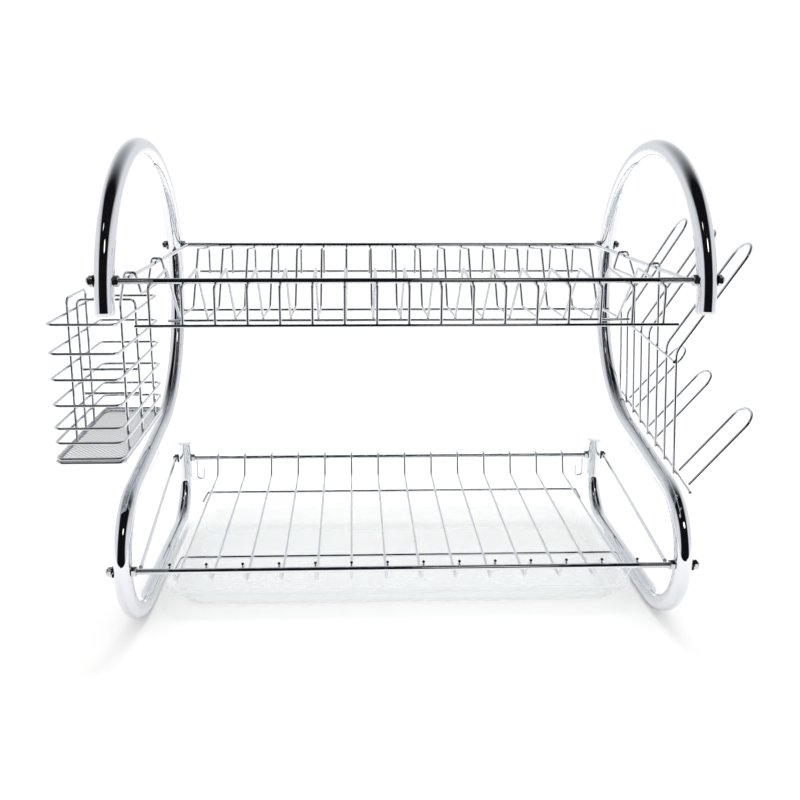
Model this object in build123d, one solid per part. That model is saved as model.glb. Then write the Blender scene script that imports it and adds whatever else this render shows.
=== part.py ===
"""Two-tier dish drying rack: two bent chrome tubes, two wire racks, a cutlery basket, a cup holder and a tray.

Millimetres.  X runs along the rack, Y from front to back, Z up.  The origin lies on the worktop,
midway between the two side tubes and midway between the front and back rails.
"""
from build123d import *
from math import acos, atan2, cos, degrees, hypot, radians, sin, sqrt
import os

# ---- side tubes -------------------------------------------------------------------------------
TUBE_X = 211.5          # centre plane of each side tube
TUBE_R = 7.0
TUBE_WALL = 1.0
ARCH_R = 117.5          # top arch and rear bend share one bending tool
ARCH_Z = 257.5
REAR_Z = 243.5          # centre height of the rear bend
KNEE_Y = -68.0          # centre of the bend above the lower front rail
KNEE_R = 48.0
TOE_R = 58.0            # bend from the lower front rail to the worktop
TOE_Z = 65.0
HEEL_Y = 75.0           # centre of the bend at the back of the foot
HEEL_R = 40.0
HEEL_TOP = 80.0
FRONT_END_Z = 261.0
PLUG_HEAD = 2.5

# ---- rails and fasteners ----------------------------------------------------------------------
RAIL_R = 2.0
SIDE_RAIL_R = 1.6
SIDE_RAIL_X = 199.0
UPPER_Z = 282.5
LOWER_Z = 63.5
UPPER_Y = sqrt(ARCH_R**2 - (UPPER_Z - ARCH_Z)**2)
LOWER_FRONT_Y = -116.0
LOWER_BACK_Y = 115.0
HOLE_R = 2.3
RAIL_END_X = 223.0
NUT_AF = 7.0            # M4 nut across flats
NUT_T = 3.2
WASHER_R = 4.5
WASHER_T = 0.8
CAP_R = 3.0

# ---- rack wires -------------------------------------------------------------------------------
WIRE_R = 1.1
LONG_R = 1.2
PLATE_PITCH = 22.5
PLATE_WIRES = 17
GRID_PITCH = 27.3
GRID_WIRES = 14

# ---- cutlery basket ---------------------------------------------------------------------------
BASKET_X0 = -253.7
BASKET_X1 = -204.8
BASKET_Y0 = -117.0
BASKET_Y1 = 3.0
RING_Z = (252.0, 231.0, 212.0, 193.0, 176.0, 165.0)
MESH_Z = 151.5
BASKET_FOOT = MESH_Z + 0.42     # the uprights stand on the mesh floor

# ---- cup holder -------------------------------------------------------------------------------
CUP_SKEW = 5.5          # degrees the holder hangs out of line with its rail
CUP_LEAN = 0.055        # it leans outward towards its foot, against the outside of the tube
CUP_SLOPE = 0.06        # its bottom bar rises towards the back
CUP_X = 209.8
CUP_Y = -9.5
CUP_PITCH = 25.4
CUP_BOTTOM = 136.5
CUP_MIDDLE = 219.0
CUP_BEND = 226.0

# ---- drip tray --------------------------------------------------------------------------------
TRAY_X = 196.0
TRAY_Y0 = -72.0
TRAY_Y1 = 104.0
TRAY_H = 18.0
TRAY_WALL = 1.6


def arc_points(cy, cz, r, a0, a1):
    """Three points of an arc in the YZ plane, angles in degrees from +Y."""
    return [(cy + r * cos(radians(a)), cz + r * sin(radians(a))) for a in (a0, (a0 + a1) / 2, a1)]


def tube_path(x):
    """Centre line of one side tube in the plane X = x, from the open front end to the open heel."""
    lift = hypot(KNEE_Y, REAR_Z - TOE_Z)
    slope = degrees(acos((ARCH_R + KNEE_R) / lift) - atan2(-KNEE_Y, REAR_Z - TOE_Z))
    start = 180 - degrees(atan2(FRONT_END_Z - ARCH_Z, ARCH_R))
    arch = arc_points(0, ARCH_Z, ARCH_R, start, 0)
    rear = arc_points(0, REAR_Z, ARCH_R, 0, slope - 90)
    knee = arc_points(KNEE_Y, TOE_Z, KNEE_R, 90 + slope, 180)
    toe = arc_points(KNEE_Y - KNEE_R + TOE_R, TOE_Z, TOE_R, 180, 270)
    heel = arc_points(HEEL_Y, TUBE_R + HEEL_R, HEEL_R, 270, 360)
    edges = []
    bends = [arch, rear, knee, toe, heel]
    for i, bend in enumerate(bends):
        p = [(x, y, z) for y, z in bend]
        edges.append(ThreePointArc(*p).edge())
        if i + 1 < len(bends):
            q = (x, *bends[i + 1][0])
            if (Vector(*q) - Vector(*p[2])).length > 0.01:
                edges.append(Line(p[2], q).edge())
    edges.append(Line((x, *heel[2]), (x, heel[2][0], HEEL_TOP)).edge())
    return Wire(edges)


def swept(path, r):
    """Round bar of radius r along a wire."""
    return sweep(Plane(path @ 0, z_dir=path % 0) * Circle(r), path=path)


def rounded(points, bend):
    """Wire through the points, each inner corner rounded to the bend radius or to its own in a list."""
    pts = [Vector(*p) for p in points]
    bends = bend if isinstance(bend, list) else [bend] * (len(pts) - 2)
    edges = []
    last = pts[0]
    for before, corner, after, bend in zip(pts, pts[1:], pts[2:], bends):
        u = (before - corner).normalized()
        v = (after - corner).normalized()
        half = acos(max(-1.0, min(1.0, u.dot(v)))) / 2
        cut = bend / (sin(half) / cos(half))
        reach = bend / sin(half)
        a = corner + u * cut
        b = corner + v * cut
        mid = corner + (u + v).normalized() * (reach - bend)
        if (a - last).length > 0.01:
            edges.append(Line(last, a).edge())
        edges.append(ThreePointArc(a, mid, b).edge())
        last = b
    edges.append(Line(last, pts[-1]).edge())
    return Wire(edges)


def bent_wire(points, bend, r=WIRE_R):
    """Round wire bent through the points."""
    return swept(rounded(points, bend), r)


def bar(a, b, r):
    """Straight round bar between two points."""
    return swept(Wire([Line(a, b).edge()]), r)


def ring(x0, x1, y0, y1, z, corner, r=WIRE_R):
    """Closed rectangular wire ring with rounded corners, lying level."""
    flat = Rectangle(x1 - x0, y1 - y0)
    outline = fillet(flat.vertices(), corner).face().outer_wire()
    outline = Pos((x0 + x1) / 2, (y0 + y1) / 2, z) * outline
    return sweep(Plane(outline @ 0, z_dir=outline % 0) * Circle(r), path=outline)


def x_bar(x0, x1, y, z, r):
    """Bar parallel to X."""
    return Pos((x0 + x1) / 2, y, z) * Rot(0, 90, 0) * Cylinder(r, x1 - x0)


RAILS = [
    ("upper_front", -UPPER_Y, UPPER_Z),
    ("upper_back", UPPER_Y, UPPER_Z),
    ("lower_front", LOWER_FRONT_Y, LOWER_Z),
    ("lower_back", LOWER_BACK_Y, LOWER_Z),
]


def side_tube(x):
    """Bent chrome tube with a cross hole at each of the four rails."""
    path = tube_path(x)
    plane = Plane(path @ 0, z_dir=path % 0)
    tube = sweep(plane * (Circle(TUBE_R) - Circle(TUBE_R - TUBE_WALL)), path=path)
    for _, y, z in RAILS:
        tube -= x_bar(x - TUBE_R - 2, x + TUBE_R + 2, y, z, HOLE_R)
    return tube


def end_plug(x, top):
    """Push-in plastic plug: a domed head over the tube end and a short stub inside it."""
    head = Cylinder(TUBE_R, PLUG_HEAD, align=(Align.CENTER, Align.CENTER, Align.MIN))
    head = fillet(head.edges().sort_by(Axis.Z)[-1], 1.5)
    stub = Cylinder(TUBE_R - TUBE_WALL - 0.15, 7, align=(Align.CENTER, Align.CENTER, Align.MAX))
    plug = head + stub
    if top:
        return Pos(x, HEEL_Y + HEEL_R, HEEL_TOP) * plug
    path = tube_path(x)
    end = Plane(path @ 0, z_dir=(path % 0) * -1)
    return end * plug


def rail(y, z):
    """Cross rail: a rod that passes through both tubes; its last stretch carries the thread."""
    return x_bar(-RAIL_END_X, RAIL_END_X, y, z, RAIL_R)


def hex_nut():
    """Hexagon nut with its axis along Z, standing on its base."""
    nut = extrude(RegularPolygon(NUT_AF / sqrt(3), 6), NUT_T) - Cylinder(RAIL_R, 3 * NUT_T)
    keep = Cylinder(NUT_AF / sqrt(3) + 0.1, NUT_T, align=(Align.CENTER, Align.CENTER, Align.MIN))
    keep = chamfer(keep.edges().filter_by(GeomType.CIRCLE), 0.5)
    return nut & keep


def washer():
    """Flat washer standing on its base."""
    ring_face = Circle(WASHER_R) - Circle(RAIL_R)
    return extrude(ring_face, WASHER_T)


def cap_nut():
    """Domed nut: hexagon with a round cap, open underneath for the rod end."""
    hexagon = extrude(RegularPolygon(NUT_AF / sqrt(3), 6), 2.6)
    dome = Pos(0, 0, 2.6) * Cylinder(CAP_R, 2.2, align=(Align.CENTER, Align.CENTER, Align.MIN))
    dome = fillet(dome.edges().sort_by(Axis.Z)[-1], 1.9)
    rod = Cylinder(RAIL_R, 2 * (RAIL_END_X - TUBE_X - TUBE_R - WASHER_T))
    return hexagon + dome - rod


def at_bolts(part, x):
    """Copies of a fastener at all eight bolt points, x measured outward from the rack centre."""
    out = []
    for _, y, z in RAILS:
        for side in (-1, 1):
            out.append(Pos(side * x, y, z) * Rot(0, 90 * side, 0) * part)
    return out


def plate_wire(x):
    """Bent wire of the upper rack: skirt, front rail, ridge, plate valley, shoulder, back rail, skirt."""
    under = UPPER_Z - RAIL_R - WIRE_R - 0.02
    return bent_wire([
        (x, -121.4, 251.1),
        (x, -121.4, under),
        (x, -UPPER_Y + 3, under),
        (x, -64.5, 284.0),
        (x, -24.8, 238.0),
        (x, 32.6, 236.4),
        (x, 65.2, 284.0),
        (x, UPPER_Y - 3, under),
        (x, 122.5, under),
        (x, 122.5, 253.8),
    ], 3.0)


def plate_x():
    """X stations of the upper rack wires."""
    return [(i - (PLATE_WIRES - 1) / 2) * PLATE_PITCH for i in range(PLATE_WIRES)]


def grid_wire(x):
    """Bent wire of the lower rack: over the back rail, down, forward to the front V, up behind the rail."""
    over = LOWER_Z + RAIL_R + WIRE_R + 0.02
    return bent_wire([
        (x, LOWER_BACK_Y + 3.5, over),
        (x, LOWER_BACK_Y - 3.2, over),
        (x, LOWER_BACK_Y - 8.5, 47.0),
        (x, -93.5, 43.5),
        (x, LOWER_FRONT_Y + RAIL_R + WIRE_R + 0.1, LOWER_Z + 3.5),
    ], 2.6)


def grid_x():
    """X stations of the lower rack wires."""
    return [(i - (GRID_WIRES - 1) / 2) * GRID_PITCH for i in range(GRID_WIRES)]


def upper_long_wires():
    """Four lengthwise wires welded to the plate wires: two skirt wires, two under the valley."""
    end = plate_x()[-1] + 10
    touch = WIRE_R + LONG_R + 0.02
    return [
        ("upper_skirt_wire_front", x_bar(-end, end, -121.4 - touch, 252.3, LONG_R)),
        ("upper_skirt_wire_back", x_bar(-end, end, 122.5 + touch, 255.1, LONG_R)),
        ("upper_valley_wire_front", x_bar(-end, end, -24.0, 238.0 - touch, LONG_R)),
        ("upper_valley_wire_back", x_bar(-end, end, 31.0, 236.4 - touch, LONG_R)),
    ]


def lower_long_wire(y, z):
    """Lengthwise wire under the lower rack with both ends turned down and outward."""
    end = grid_x()[-1]
    return bent_wire([
        (-end - 9, y - 2, z - 9),
        (-end - 4, y, z),
        (end + 4, y, z),
        (end + 9, y - 2, z - 9),
    ], 3.0, LONG_R)


def upper_side_rail(side):
    """Rod welded between the upper front and back rails just inside a tube."""
    reach = UPPER_Y - RAIL_R - 0.02
    return bar((side * SIDE_RAIL_X, -reach, UPPER_Z), (side * SIDE_RAIL_X, reach, UPPER_Z), SIDE_RAIL_R)


def lower_side_rail(side):
    """Brace of the lower rack: welded behind the front rail, it runs askew to the outside of the heel."""
    outer_x = TUBE_X + TUBE_R + WASHER_T + SIDE_RAIL_R
    front = (side * 199.0, LOWER_FRONT_Y + RAIL_R + SIDE_RAIL_R, LOWER_Z + 1.6)
    return bar(front, (side * outer_x, LOWER_BACK_Y - 6.0, LOWER_Z), SIDE_RAIL_R)


def hang_hook(x, side):
    """Small wire hook that hangs from the lower back rail beside a tube."""
    top = LOWER_Z - RAIL_R - WIRE_R * 0.8 - 0.02
    return bent_wire([
        (x, LOWER_BACK_Y, top),
        (x, LOWER_BACK_Y - 1, 42.0),
        (x + side * 7.5, LOWER_BACK_Y - 3, 42.0),
        (x + side * 7.5, LOWER_BACK_Y - 3, 53.0),
    ], 2.8, 0.9)


def basket_rings():
    """Six level rings of the cutlery basket."""
    return [ring(BASKET_X0, BASKET_X1, BASKET_Y0, BASKET_Y1, z, 5.0) for z in RING_Z]


def basket_upright_x(outer):
    """Plane of the uprights that stand inside the rings, on the outer or the rail side."""
    gap = 2 * WIRE_R + 0.02
    return BASKET_X0 + gap if outer else BASKET_X1 - gap


def over_rail(side, x, y, foot, low):
    """Half of a hook wire: up from its foot, inward to the side rail, over it and down inside it."""
    top = UPPER_Z + SIDE_RAIL_R + WIRE_R + 0.35
    return [
        foot,
        (x, y, 263.0),
        (side * (SIDE_RAIL_X + 3.8), y, top),
        (side * (SIDE_RAIL_X - 3.8), y, top),
        (side * (SIDE_RAIL_X - 7.5), y, low),
    ]


def hook_wire(first, second):
    """Joins two hook halves along the bottom of their inner legs."""
    return bent_wire(first + second[::-1], [8.0, 2.4, 2.4, 3.0, 3.0, 2.4, 2.4, 8.0])


def basket_hook():
    """One wire: two uprights on the rail side that fold over the side rail and join inside it."""
    x = basket_upright_x(False)
    halves = [over_rail(-1, x, y, (x, y, BASKET_FOOT), 270.0) for y in (-95.0, -14.0)]
    return hook_wire(*halves)


def basket_side_loop():
    """Upturned U inside the outer side of the rings."""
    x = basket_upright_x(True)
    return bent_wire([
        (x, -77.5, BASKET_FOOT),
        (x, -77.5, 264.0),
        (x, -35.0, 264.0),
        (x, -35.0, BASKET_FOOT),
    ], 4.0)


def basket_divider():
    """Upturned U across the basket that parts it in two."""
    return bent_wire([
        (basket_upright_x(True), -56.0, BASKET_FOOT),
        (basket_upright_x(True), -56.0, 259.0),
        (basket_upright_x(False), -56.0, 259.0),
        (basket_upright_x(False), -56.0, BASKET_FOOT),
    ], 4.0)


def basket_divider_bars():
    """Two cross bars welded to the divider between its uprights."""
    y = -56.0 + 2 * WIRE_R + 0.02
    x0 = basket_upright_x(True) - 1
    x1 = basket_upright_x(False) + 1
    return [x_bar(x0, x1, y, z, WIRE_R) for z in (203.0, 183.5)]


def floor_rims():
    """Two rings that hold the mesh floor between them."""
    gap = 0.4 + WIRE_R + 0.02
    return [ring(BASKET_X0, BASKET_X1, BASKET_Y0, BASKET_Y1, MESH_Z + d, 5.0) for d in (-gap, gap)]


def mesh_floor():
    """Mesh floor: a thin sheet with square holes, its edge between the two rims."""
    step = 6.0
    x0 = BASKET_X0
    x1 = BASKET_X1
    y0 = BASKET_Y0
    y1 = BASKET_Y1
    floor = Pos((x0 + x1) / 2, (y0 + y1) / 2, MESH_Z) * Box(x1 - x0, y1 - y0, 0.8)
    floor = fillet(floor.edges().filter_by(Axis.Z), 5.0)
    holes = []
    columns = int((x1 - x0 - 6) // step)
    rows = int((y1 - y0 - 6) // step)
    for i in range(columns):
        for j in range(rows):
            x = (x0 + x1) / 2 + (i - (columns - 1) / 2) * step
            y = (y0 + y1) / 2 + (j - (rows - 1) / 2) * step
            holes.append(Pos(x, y, MESH_Z) * Box(step - 1.2, step - 1.2, 2))
    return floor - holes


def cup_place(x, y, z):
    """Point of the cup holder: x outward from its plane, y along it; it is skewed and leans outward."""
    a = radians(CUP_SKEW)
    lean = (CUP_MIDDLE - z) * CUP_LEAN
    return (CUP_X + lean + x * cos(a) + y * sin(a), CUP_Y + y * cos(a) - x * sin(a), z)


def cup_y(k):
    """Distance along the holder of vertical wire k, counted from the back."""
    return (3.5 - k) * CUP_PITCH


def cup_foot(x, y, above):
    """Point at the bottom bar's height or a little above it."""
    return cup_place(x, y, CUP_BOTTOM + CUP_SLOPE * y + above)


def cup_arm(k):
    """Long loop: two verticals that lean out at the top and meet in a round tip."""
    y0 = cup_y(k)
    y1 = cup_y(k + 1)
    tip = 54.0
    top = CUP_BEND + 82.0 + 0.04 * y0
    return bent_wire([
        cup_foot(0, y0, -1),
        cup_place(0, y0, CUP_BEND),
        cup_place(tip, y0, top),
        cup_place(tip, y1, top),
        cup_place(0, y1, CUP_BEND),
        cup_foot(0, y1, -1),
    ], [14.0, 12.0, 12.0, 14.0])


def cup_prong(y):
    """Short loop that springs from the bottom bar and leans out."""
    half = 12.0
    x = 4 * WIRE_R + 0.05
    reach = 46.0
    rise = 54.0
    return bent_wire([
        cup_foot(x, y + half, 1),
        cup_foot(x + reach, y + half, 1 + rise),
        cup_foot(x + reach, y - half, 1 + rise),
        cup_foot(x, y - half, 1),
    ], 10.5)


def cup_hook():
    """One wire: two uprights that fold over the side rail and join inside it."""
    halves = []
    for k in (2, 5):
        x, y, _ = cup_place(0, cup_y(k), 263.0)
        halves.append(over_rail(1, x, y, cup_foot(0, cup_y(k), -1), 271.0))
    return hook_wire(*halves)


def cup_bars():
    """Bottom bar welded outside the verticals and mid bar welded inside them."""
    x = 2 * WIRE_R + 0.02
    bottom = bar(cup_foot(x, cup_y(0) + 3, 0), cup_foot(x, cup_y(7) - 34, 0), WIRE_R)
    mid_back = cup_place(-x, cup_y(2) + 8, CUP_MIDDLE)
    middle = bar(mid_back, cup_place(-x, cup_y(7) - 3, CUP_MIDDLE), WIRE_R)
    return bottom, middle


def drip_tray():
    """Shallow moulded tray with leaning walls, rounded corners and a flat lip."""
    w = 2 * TRAY_X
    d = TRAY_Y1 - TRAY_Y0
    mid = (TRAY_Y0 + TRAY_Y1) / 2
    lip = fillet(Rectangle(w, d).vertices(), 32)
    body = fillet(Rectangle(w - 12, d - 12).vertices(), 26)
    foot = fillet(Rectangle(w - 24, d - 24).vertices(), 20)
    shell = loft([foot.face(), Pos(0, 0, TRAY_H) * body.face()])
    inner_foot = offset(foot, -TRAY_WALL).face()
    inner_top = offset(body, -TRAY_WALL).face()
    hollow = loft([Pos(0, 0, TRAY_WALL) * inner_foot, Pos(0, 0, TRAY_H + 0.01) * inner_top])
    flange = extrude(Pos(0, 0, TRAY_H - 1.5) * lip, 1.5) - extrude(Pos(0, 0, TRAY_H - 3) * inner_top, 6)
    return Pos(0, mid, 0) * (shell - hollow + flange)


def save(name, solids):
    """Write one node."""
    items = solids if isinstance(solids, (list, tuple)) else [solids]
    flat = [s for item in items for s in item.solids()]
    export_step(flat[0] if len(flat) == 1 else Compound(children=flat), f"parts/{name}.step")
    print(name, len(flat), round(sum(s.volume for s in flat), 1))


os.makedirs("parts", exist_ok=True)
for label, side in (("left", -1), ("right", 1)):
    save(f"{label}_s_tube", side_tube(side * TUBE_X))
    save(f"{label}_front_end_plug", end_plug(side * TUBE_X, False))
    save(f"{label}_heel_end_plug", end_plug(side * TUBE_X, True))
    save(f"{label}_upper_side_rail", upper_side_rail(side))
    save(f"{label}_lower_side_rail", lower_side_rail(side))
    save(f"{label}_rail_hook", hang_hook(side * (TUBE_X - 12), -side))
for label, y, z in RAILS:
    save(f"{label}_rail", rail(y, z))
save("inner_nuts", at_bolts(hex_nut(), TUBE_X - TUBE_R - NUT_T))
save("outer_washers", at_bolts(washer(), TUBE_X + TUBE_R))
save("outer_cap_nuts", at_bolts(cap_nut(), TUBE_X + TUBE_R + WASHER_T))
save("upper_plate_wires", [plate_wire(x) for x in plate_x()])
for label, solid in upper_long_wires():
    save(label, solid)
save("lower_rack_wires", [grid_wire(x) for x in grid_x()])
save("lower_long_wire_front", lower_long_wire(-54.0, 41.7))
save("lower_long_wire_back", lower_long_wire(73.0, 43.8))
save("cutlery_rings", basket_rings())
save("cutlery_hook_wire", basket_hook())
save("cutlery_side_loop", basket_side_loop())
save("cutlery_divider", basket_divider())
save("cutlery_divider_bars", basket_divider_bars())
save("cutlery_floor_rims", floor_rims())
save("cutlery_floor_mesh", mesh_floor())
for number, k in enumerate((0, 3, 6), 1):
    save(f"cup_arm_{number}", cup_arm(k))
for number, y in enumerate((58.0, -12.0, -100.0), 1):
    save(f"cup_prong_{number}", cup_prong(y))
save("cup_hook_wire", cup_hook())
bottom_bar, middle_bar = cup_bars()
save("cup_bottom_bar", bottom_bar)
save("cup_middle_bar", middle_bar)
save("drip_tray", drip_tray())
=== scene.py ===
import bmesh
import bpy
from math import cos, radians, sin
from mathutils import Matrix, Vector


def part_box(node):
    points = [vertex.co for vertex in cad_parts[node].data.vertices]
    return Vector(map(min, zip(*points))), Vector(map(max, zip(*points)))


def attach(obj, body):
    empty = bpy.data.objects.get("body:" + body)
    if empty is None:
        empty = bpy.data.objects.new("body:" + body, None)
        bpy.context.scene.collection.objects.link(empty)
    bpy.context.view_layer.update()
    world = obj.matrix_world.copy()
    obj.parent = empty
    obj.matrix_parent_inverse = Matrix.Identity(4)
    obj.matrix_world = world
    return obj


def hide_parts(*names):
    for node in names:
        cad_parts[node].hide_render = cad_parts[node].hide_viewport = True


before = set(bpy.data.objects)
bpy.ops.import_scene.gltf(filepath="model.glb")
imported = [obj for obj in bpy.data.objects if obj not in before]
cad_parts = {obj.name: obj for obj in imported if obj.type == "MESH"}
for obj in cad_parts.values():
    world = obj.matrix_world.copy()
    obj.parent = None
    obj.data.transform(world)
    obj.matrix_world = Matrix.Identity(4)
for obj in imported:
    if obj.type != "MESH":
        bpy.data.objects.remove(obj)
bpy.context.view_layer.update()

# ---- Camera -----------------------------------------------------------------------------------
# Stands in front of the rack, a little below the tops of its arches, and looks slightly down.
# The small shift keeps the whole rack in the frame without turning the camera.
CAMERA_PLACE = (-0.0400, -0.6736, 0.3687)
CAMERA_RIGHT = Vector((0.99949, -0.03174, 0.00334))
CAMERA_UP = Vector((0.00319, 0.20352, 0.97907))

camera = bpy.data.objects.new("camera", bpy.data.cameras.new("camera"))
camera.data.sensor_width = 36.0
camera.data.lens = 36.32
camera.data.shift_x = 0.0279
camera.data.shift_y = -0.0966
turn = Matrix((CAMERA_RIGHT, CAMERA_UP, CAMERA_RIGHT.cross(CAMERA_UP))).transposed()
camera.matrix_world = Matrix.Translation(CAMERA_PLACE) @ turn.to_4x4()
bpy.context.scene.collection.objects.link(camera)
bpy.context.scene.camera = camera
bpy.context.scene.view_settings.view_transform = "Standard"

# ---- Studio light -----------------------------------------------------------------------------
# The camera and matt surfaces see an even white surround.  What shiny surfaces mirror is a white sweep
# behind and beside the rack that greys towards the top, and an unlit room in front of it and overhead.
# The unlit room gives bright chrome its black bands, and two small warm lamps put glints in them.
SURROUND_WHITE = 1.05
SWEEP_WHITE = (0.86, 0.87, 0.89, 1)
CEILING_GREY = (0.34, 0.35, 0.36, 1)
ROOM_DARK = (0.006, 0.006, 0.008, 1)
LAMP_WARMTH = (1.0, 0.95, 0.88)
LAMP_EDGE = 0.0015
ROOM_LAMPS = (((0.16, -0.76, 0.63), 0.9955, 2.2), ((-0.30, -0.55, 0.78), 0.9980, 1.6))


def add(tree, kind, inputs=None, **settings):
    """One node with its settings; each input is a value, or the socket that feeds it."""
    made = tree.nodes.new(kind)
    for name, value in settings.items():
        setattr(made, name, value)
    for name, value in (inputs or {}).items():
        if isinstance(value, bpy.types.NodeSocket):
            tree.links.new(value, made.inputs[name])
        else:
            made.inputs[name].default_value = value
    return made


def ramp(tree, value, low, high, at_low, at_high):
    """A smooth step of a number between two limits."""
    step = add(tree, "ShaderNodeMapRange", {"Value": value}, interpolation_type="SMOOTHSTEP")
    for name, number in (("From Min", low), ("From Max", high), ("To Min", at_low), ("To Max", at_high)):
        step.inputs[name].default_value = number
    return step.outputs["Result"]


studio = bpy.data.worlds.new("studio")
studio.use_nodes = True
bpy.context.scene.world = studio
sky = studio.node_tree
sky.nodes.clear()
toward = add(sky, "ShaderNodeTexCoord").outputs["Generated"]
axes = add(sky, "ShaderNodeSeparateXYZ", {"Vector": toward})
beside = add(sky, "ShaderNodeMath", {0: axes.outputs["X"]}, operation="ABSOLUTE").outputs[0]
across = ramp(sky, beside, 0.66, 0.80, 1.0, 0.0)
ahead = ramp(sky, axes.outputs["Y"], 0.00, 0.55, 1.0, 0.0)
room = add(sky, "ShaderNodeMath", {0: across, 1: ahead}, operation="MULTIPLY").outputs[0]
upward = ramp(sky, axes.outputs["Z"], 0.30, 0.95, 0.0, 1.0)
sweep = add(sky, "ShaderNodeMix", {"Factor": upward}, data_type="RGBA")
sweep.inputs["A"].default_value = SWEEP_WHITE
sweep.inputs["B"].default_value = CEILING_GREY
walls = add(sky, "ShaderNodeMix", {"Factor": room}, data_type="RGBA")
walls.inputs["B"].default_value = ROOM_DARK
sky.links.new(sweep.outputs["Result"], walls.inputs["A"])
glints = walls.outputs["Result"]
for direction, size, strength in ROOM_LAMPS:
    centre = Vector(direction).normalized()
    nearness = add(sky, "ShaderNodeVectorMath", {0: toward, 1: centre}, operation="DOT_PRODUCT")
    disc = ramp(sky, nearness.outputs["Value"], size, size + LAMP_EDGE, 0.0, strength)
    glow = add(sky, "ShaderNodeVectorMath", {0: LAMP_WARMTH}, operation="SCALE")
    sky.links.new(disc, glow.inputs["Scale"])
    glints = add(sky, "ShaderNodeVectorMath", {0: glints, 1: glow.outputs[0]}, operation="ADD").outputs[0]
seen = add(sky, "ShaderNodeBackground", {"Color": (1, 1, 1, 1), "Strength": SURROUND_WHITE})
mirrored = add(sky, "ShaderNodeBackground", {"Color": glints, "Strength": 1.0})
ray = add(sky, "ShaderNodeLightPath")
both = add(sky, "ShaderNodeMixShader",
           {0: ray.outputs["Is Glossy Ray"], 1: seen.outputs[0], 2: mirrored.outputs[0]})
add(sky, "ShaderNodeOutputWorld", {"Surface": both.outputs[0]})

LAMP_PLACE = Vector((0.05, 0.75, 1.5))
LAMP_TARGET = Vector((0, 0, 0.05))

lamp = bpy.data.lights.new("overhead", "AREA")
lamp.shape = "DISK"
lamp.size = 0.9
lamp.energy = 9.0
holder = bpy.data.objects.new("overhead", lamp)
aim = (LAMP_TARGET - LAMP_PLACE).to_track_quat("-Z", "Y")
holder.matrix_world = Matrix.Translation(LAMP_PLACE) @ aim.to_matrix().to_4x4()
holder.visible_glossy = False
bpy.context.scene.collection.objects.link(holder)


# ---- Worktop ----------------------------------------------------------------------------------
# A matt white table paper that ends some 23 cm in front of the rack and runs far out behind it.
# It takes the soft shadow, and the dark room beyond its front edge shows in the chrome.
PAPER_HALF = 3.0
PAPER_FRONT = -0.36
PAPER_DROP = 0.0003


def linear(code):
    """An sRGB hex colour as linear RGBA."""
    out = []
    for i in (0, 2, 4):
        c = int(code[i:i + 2], 16) / 255
        out.append(c / 12.92 if c <= 0.04045 else ((c + 0.055) / 1.055) ** 2.4)
    return (*out, 1.0)


def new_material(name):
    """An empty material, its node tree and its Principled shader."""
    made = bpy.data.materials.new(name)
    made.use_nodes = True
    tree = made.node_tree
    return made, tree, tree.nodes["Principled BSDF"]


def new_piece(name, shape, material, smooth=True):
    """A bmesh made into an object of the scene, with one material."""
    data = bpy.data.meshes.new(name)
    bmesh.ops.recalc_face_normals(shape, faces=shape.faces)
    for face in shape.faces:
        face.smooth = smooth
    shape.to_mesh(data)
    shape.free()
    data.materials.append(material)
    made = bpy.data.objects.new(name, data)
    bpy.context.scene.collection.objects.link(made)
    return made


paper, tree, shader = new_material("matt_white_paper")
object_at = add(tree, "ShaderNodeTexCoord").outputs["Object"]
grain = add(tree, "ShaderNodeTexNoise", {"Vector": object_at, "Scale": 3.0, "Detail": 2.0})
tone = add(tree, "ShaderNodeMix", {"Factor": grain.outputs["Fac"]}, data_type="RGBA")
tone.inputs["A"].default_value = linear("fcfbfa")
tone.inputs["B"].default_value = linear("fefefe")
tree.links.new(tone.outputs["Result"], shader.inputs["Base Color"])
shader.inputs["Roughness"].default_value = 0.9
shader.inputs["Specular IOR Level"].default_value = 0.1
top = bmesh.new()
bmesh.ops.create_grid(top, x_segments=1, y_segments=1, size=PAPER_HALF)
bmesh.ops.translate(top, verts=top.verts, vec=(0, PAPER_HALF + PAPER_FRONT, -PAPER_DROP))
floor = new_piece("worktop", top, paper)

# ---- Side tubes and cross rods ----------------------------------------------------------------
# Bent steel tube and straight steel rod, polished and then chromium plated.  The plate is a mirror
# with a faint waviness from polishing, and a thin film of handling marks that dulls it in patches.
MM = 0.001


def chrome(name, colour, wave_mm, wave_depth_mm, dull):
    """A mirror whose polish waves every wave_mm; dull is the roughness of its dull patches."""
    made, tree, shader = new_material(name)
    place = add(tree, "ShaderNodeTexCoord").outputs["Object"]
    marks = add(tree, "ShaderNodeTexNoise", {"Vector": place, "Scale": 1 / (18 * MM), "Detail": 4.0})
    film = ramp(tree, marks.outputs["Fac"], 0.45, 0.75, dull * 0.45, dull)
    tree.links.new(film, shader.inputs["Roughness"])
    waves = add(tree, "ShaderNodeTexNoise", {"Vector": place, "Scale": 1 / (wave_mm * MM), "Detail": 1.0})
    relief = add(tree, "ShaderNodeBump", {"Height": waves.outputs["Fac"], "Strength": 1.0})
    relief.inputs["Distance"].default_value = wave_depth_mm * MM
    tree.links.new(relief.outputs["Normal"], shader.inputs["Normal"])
    tint = add(tree, "ShaderNodeMix", {"Factor": marks.outputs["Fac"]}, data_type="RGBA")
    tint.inputs["A"].default_value = linear(colour)
    tint.inputs["B"].default_value = linear("e9ebee")
    tree.links.new(tint.outputs["Result"], shader.inputs["Base Color"])
    shader.inputs["Metallic"].default_value = 1.0
    return made


def dress(material, *names):
    """Gives CAD nodes a material."""
    for name in names:
        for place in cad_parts[name].material_slots:
            place.material = material


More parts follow.
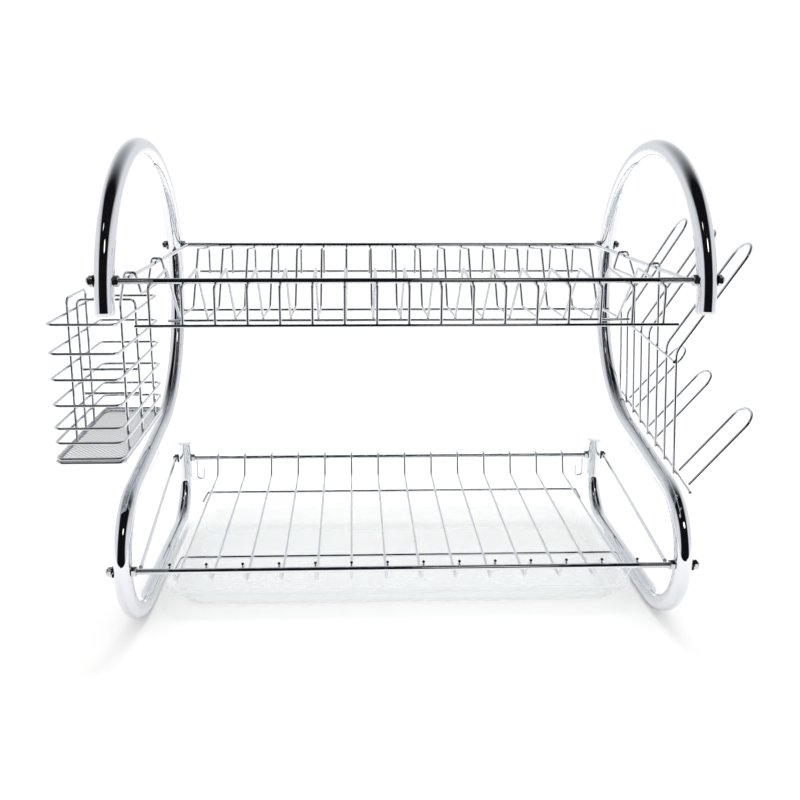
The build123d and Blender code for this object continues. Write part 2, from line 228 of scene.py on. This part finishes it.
tube_chrome = chrome("bright_chrome_on_tube", "dfe2e6", 16.0, 0.035, 0.06)
rod_chrome = chrome("bright_chrome_on_rod", "d9dce1", 8.0, 0.01, 0.10)
dress(tube_chrome, "left_s_tube", "right_s_tube")
dress(rod_chrome, "upper_front_rail", "upper_back_rail", "lower_front_rail", "lower_back_rail")
dress(rod_chrome, "left_upper_side_rail", "right_upper_side_rail",
      "left_lower_side_rail", "right_lower_side_rail")

# ---- Rod threads ------------------------------------------------------------------------------
# Rolled thread on the last stretch of each cross rod, from inside its inner nut.  The fine ridges
# catch light from every side, so the thread looks lighter and duller than the rod.
THREAD_PITCH = 0.7 * MM
THREAD_LONG = 24.0 * MM
ROD_R = 2.0 * MM
NUT_FACE = 201.3 * MM
THREAD_ROOT = ROD_R - 0.02 * MM
THREAD_CREST = ROD_R + 0.28 * MM
THREAD_STEPS = 14       # steps in one turn of the thread

thread_zinc = chrome("rolled_thread_plated", "b9bcc0", 1.5, 0.01, 0.34)
turns = int(THREAD_LONG / THREAD_PITCH)
ridge = bmesh.new()
for rod in ("upper_front_rail", "upper_back_rail", "lower_front_rail", "lower_back_rail"):
    low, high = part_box(rod)
    centre = (low + high) / 2
    for side in (-1, 1):
        start = side * NUT_FACE
        a = ridge.verts.new((start, centre.y, centre.z + THREAD_ROOT))
        b = ridge.verts.new((start - side * THREAD_PITCH * 0.5, centre.y, centre.z + THREAD_CREST))
        c = ridge.verts.new((start - side * THREAD_PITCH, centre.y, centre.z + THREAD_ROOT))
        edges = [ridge.edges.new((a, b)), ridge.edges.new((b, c))]
        bmesh.ops.spin(ridge, geom=[a, b, c] + edges, cent=(0, centre.y, centre.z), axis=(1, 0, 0),
                       dvec=(-side * THREAD_PITCH / THREAD_STEPS, 0, 0),
                       angle=radians(360 * turns), steps=THREAD_STEPS * turns)
threads = new_piece("rod_threads", ridge, thread_zinc)
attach(threads, "rack")

# ---- Nuts, washers and cap nuts ---------------------------------------------------------------
# Steel fasteners, tumbled and nickel plated: a little duller and darker than the chrome.
nickel = chrome("tumbled_nickel_plate", "b4b5b6", 2.5, 0.03, 0.22)
dress(nickel, "inner_nuts", "outer_washers", "outer_cap_nuts")

# ---- Tube end plugs ---------------------------------------------------------------------------
# Injection moulded polyethylene caps pushed into the open tube ends; milky, so light bleeds
# through them, with a satin skin from the mould.
plug_skin, tree, shader = new_material("milky_polyethylene")
place = add(tree, "ShaderNodeTexCoord").outputs["Object"]
mould = add(tree, "ShaderNodeTexNoise", {"Vector": place, "Scale": 1 / (0.8 * MM), "Detail": 2.0})
relief = add(tree, "ShaderNodeBump",
             {"Height": mould.outputs["Fac"], "Strength": 0.5, "Distance": 0.05 * MM})
cloud = add(tree, "ShaderNodeTexNoise", {"Vector": place, "Scale": 1 / (5 * MM), "Detail": 2.0})
milk = add(tree, "ShaderNodeMix", {"Factor": cloud.outputs["Fac"]}, data_type="RGBA")
milk.inputs["A"].default_value = linear("dfe1e1")
milk.inputs["B"].default_value = linear("eff0ef")
tree.links.new(milk.outputs["Result"], shader.inputs["Base Color"])
tree.links.new(relief.outputs["Normal"], shader.inputs["Normal"])
shader.inputs["Roughness"].default_value = 0.38
shader.inputs["IOR"].default_value = 1.51
shader.inputs["Subsurface Weight"].default_value = 0.35
shader.inputs["Subsurface Scale"].default_value = 2.0 * MM
dress(plug_skin, "left_front_end_plug", "right_front_end_plug", "left_heel_end_plug", "right_heel_end_plug")

# ---- Rack wires -------------------------------------------------------------------------------
# Drawn steel wire, cut, bent and spot welded, then the whole rack is chromium plated in one go.
wire_chrome = chrome("bright_chrome_on_wire", "d3d6db", 8.0, 0.008, 0.13)
dress(wire_chrome, "upper_plate_wires", "upper_skirt_wire_front", "upper_skirt_wire_back",
      "upper_valley_wire_front", "upper_valley_wire_back", "lower_rack_wires",
      "lower_long_wire_front", "lower_long_wire_back", "left_rail_hook", "right_rail_hook")

# ---- Rack welds -------------------------------------------------------------------------------
# Each crossing of two wires is a resistance weld: a small flattened bead of steel under the plate.
PLATE_PITCH = 22.5 * MM
GRID_PITCH = 27.3 * MM
PLATE_X = [(i - 8) * PLATE_PITCH for i in range(17)]
GRID_X = [(i - 6.5) * GRID_PITCH for i in range(14)]
RAIL_WELDS = ((-114.8, 280.5), (114.8, 280.5))
VALLEY_WELDS = ((-24.0, 236.9), (31.0, 235.3))
SKIRT_WELDS = ((-122.5, 252.3), (123.6, 255.1))
LOWER_WELDS = ((-112.9, 64.6), (115.0, 65.5), (-54.0, 42.9), (73.0, 45.0))


def weld(shape, x, y, z, size=1.05 * MM, flat=(1.25, 1.0, 0.8)):
    """One bead where two wires cross."""
    bead = bmesh.ops.create_icosphere(shape, subdivisions=1, radius=size)["verts"]
    bmesh.ops.scale(shape, vec=flat, verts=bead)
    bmesh.ops.translate(shape, vec=(x, y, z), verts=bead)


beads = bmesh.new()
for x in PLATE_X:
    for y, z in RAIL_WELDS + VALLEY_WELDS + SKIRT_WELDS:
        weld(beads, x, y * MM, z * MM)
for x in GRID_X:
    for y, z in LOWER_WELDS:
        weld(beads, x, y * MM, z * MM)
rack_welds = new_piece("rack_weld_beads", beads, wire_chrome)
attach(rack_welds, "rack")

# ---- Cutlery basket ---------------------------------------------------------------------------
# Six wire rings and the floor's rim, welded to bent uprights; a hook wire folds over the side rail.
BASKET_RINGS = (252.0, 231.0, 212.0, 193.0, 176.0, 165.0, 153.0)
OUTER_UPRIGHTS = (-77.5, -35.0, -56.0)
INNER_UPRIGHTS = (-95.0, -56.0, -14.0)
DIVIDER_BARS = (203.0, 183.5)
UPRIGHT_BEAD = (1.0, 1.25, 0.9)     # a bead on an upright is widest along the ring

dress(wire_chrome, "cutlery_rings", "cutlery_hook_wire", "cutlery_side_loop", "cutlery_divider",
      "cutlery_divider_bars", "cutlery_floor_rims")
beads = bmesh.new()
for z in BASKET_RINGS:
    for y in OUTER_UPRIGHTS:
        weld(beads, -252.6 * MM, y * MM, z * MM, flat=UPRIGHT_BEAD)
    for y in INNER_UPRIGHTS:
        weld(beads, -205.9 * MM, y * MM, z * MM, flat=UPRIGHT_BEAD)
for z in DIVIDER_BARS:
    for x in (-251.5, -207.0):
        weld(beads, x * MM, -54.9 * MM, z * MM)
basket_welds = new_piece("basket_weld_beads", beads, wire_chrome)
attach(basket_welds, "cutlery_basket")

# ---- Cutlery basket floor ---------------------------------------------------------------------
# Steel wire cloth laid on the bias, so its holes are diamonds, and pressed into the rim.
low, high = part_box("cutlery_floor_mesh")
CLOTH_PITCH = 2.5 * MM
CLOTH_WIRE = 0.55 * MM
CLOTH_WIDE = 140 * MM       # enough to cover the floor when laid on the bias
cloth = bmesh.new()
count = int(CLOTH_WIDE / CLOTH_PITCH)
bmesh.ops.create_grid(cloth, x_segments=count, y_segments=count, size=count * CLOTH_PITCH / 2)
bmesh.ops.rotate(cloth, verts=cloth.verts, matrix=Matrix.Rotation(radians(45), 3, "Z"))
centre = (low + high) / 2
bmesh.ops.translate(cloth, verts=cloth.verts, vec=centre)
for point, normal in (((low.x, 0, 0), (-1, 0, 0)), ((high.x, 0, 0), (1, 0, 0)),
                      ((0, low.y, 0), (0, -1, 0)), ((0, high.y, 0), (0, 1, 0))):
    bmesh.ops.bisect_plane(cloth, geom=cloth.verts[:] + cloth.edges[:] + cloth.faces[:],
                           plane_co=point, plane_no=normal, clear_outer=True)
cloth_chrome = chrome("chrome_wire_cloth", "b7babf", 3.0, 0.01, 0.25)
wire_cloth = new_piece("cutlery_floor_wire_cloth", cloth, cloth_chrome)
thicken = wire_cloth.modifiers.new("wires", "WIREFRAME")
thicken.thickness = CLOTH_WIRE
thicken.use_boundary = True
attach(wire_cloth, "cutlery_basket")
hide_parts("cutlery_floor_mesh")

# ---- Cup holder -------------------------------------------------------------------------------
# Long loops for mugs and short prongs below them, all bent from wire and welded to two bars.
dress(wire_chrome, "cup_arm_1", "cup_arm_2", "cup_arm_3", "cup_prong_1", "cup_prong_2", "cup_prong_3",
      "cup_hook_wire", "cup_bottom_bar", "cup_middle_bar")

CUP_TURN = radians(5.5)     # the holder hangs a little out of line with its rail
CUP_LEAN = 0.055            # and leans outward towards its foot
CUP_SLOPE = 0.06            # its bottom bar rises towards the back
CUP_X = 209.8
CUP_Y = -9.5
CUP_PITCH = 25.4
CUP_BOTTOM = 136.5
CUP_MIDDLE = 219.0
BAR_GAP = 1.11              # from a vertical's centre plane to the face that its bar touches

beads = bmesh.new()
for k in range(8):
    along = (3.5 - k) * CUP_PITCH
    for outward, z in ((BAR_GAP, CUP_BOTTOM + CUP_SLOPE * along), (-BAR_GAP, CUP_MIDDLE)):
        if k < 2 and outward < 0:
            continue        # the middle bar starts at the third vertical
        x = CUP_X + (CUP_MIDDLE - z) * CUP_LEAN + outward * cos(CUP_TURN) + along * sin(CUP_TURN)
        y = CUP_Y + along * cos(CUP_TURN) - outward * sin(CUP_TURN)
        weld(beads, x * MM, y * MM, z * MM, flat=UPRIGHT_BEAD)
cup_welds = new_piece("cup_holder_weld_beads", beads, wire_chrome)
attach(cup_welds, "cup_holder")

# ---- Drip tray --------------------------------------------------------------------------------
# One sheet of clear polystyrene, vacuum formed: leaning walls, large corner radii, and a flat lip
# with its edge turned down.  It is nearly invisible except where its edges gather the light.
low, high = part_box("drip_tray")
SHEET = 1.5 * MM
FLOOR_INSET = 12 * MM
CORNER_R = 22 * MM
middle = (low + high) / 2
half = Vector(((high.x - low.x) / 2, (high.y - low.y) / 2))
tray = bmesh.new()
wide = half.x - FLOOR_INSET
deep = half.y - FLOOR_INSET
corners = [tray.verts.new((middle.x + sx * wide, middle.y + sy * deep, low.z))
           for sx, sy in ((-1, -1), (1, -1), (1, 1), (-1, 1))]
tray.faces.new(corners)
bmesh.ops.bevel(tray, geom=corners, offset=CORNER_R, offset_type="OFFSET", segments=9, profile=0.5,
                affect="VERTICES", material=-1)
bmesh.ops.inset_region(tray, faces=tray.faces[:], thickness=1.2 * MM, use_even_offset=True)


def raise_rim(shape, out, lift):
    """Draws the open rim of the sheet outward and up."""
    rim = [e for e in shape.edges if e.is_boundary]
    new = bmesh.ops.extrude_edge_only(shape, edges=rim)["geom"]
    verts = [g for g in new if isinstance(g, bmesh.types.BMVert)]
    wide = max(v.co.x for v in verts) - middle.x
    deep = max(v.co.y for v in verts) - middle.y
    bmesh.ops.translate(shape, verts=verts, vec=(-middle.x, -middle.y, lift))
    bmesh.ops.scale(shape, verts=verts, vec=((wide + out) / wide, (deep + out) / deep, 1))
    bmesh.ops.translate(shape, verts=verts, vec=(middle.x, middle.y, 0))


height = high.z - low.z
raise_rim(tray, 0.5 * MM, 1.2 * MM)
raise_rim(tray, 5.0 * MM, height - 2.4 * MM)
raise_rim(tray, 0.8 * MM, 1.0 * MM)
raise_rim(tray, 4.6 * MM, 0.2 * MM)
raise_rim(tray, 0.8 * MM, -2.0 * MM)
styrene, tree, shader = new_material("clear_polystyrene_sheet")
place = add(tree, "ShaderNodeTexCoord").outputs["Object"]
flow = add(tree, "ShaderNodeTexNoise", {"Vector": place, "Scale": 1 / (30 * MM), "Detail": 2.0})
haze = ramp(tree, flow.outputs["Fac"], 0.35, 0.7, 0.12, 0.24)
tree.links.new(haze, shader.inputs["Roughness"])
relief = add(tree, "ShaderNodeBump",
             {"Height": flow.outputs["Fac"], "Strength": 0.6, "Distance": 0.6 * MM})
tree.links.new(relief.outputs["Normal"], shader.inputs["Normal"])
shader.inputs["Base Color"].default_value = linear("f3f6f6")
shader.inputs["IOR"].default_value = 1.59
shader.inputs["Alpha"].default_value = 0.30
tray_sheet = new_piece("formed_drip_tray", tray, styrene)
wall = tray_sheet.modifiers.new("wall", "SOLIDIFY")
wall.thickness = SHEET
wall.offset = 1.0
soften = tray_sheet.modifiers.new("soft_edges", "SUBSURF")
soften.levels = 1
soften.render_levels = 1
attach(tray_sheet, "tray")
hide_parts("drip_tray")

# ---- Scene update -----------------------------------------------------------------------------
# Brings the scene up to date after the pieces were added and parented.
bpy.context.view_layer.update()
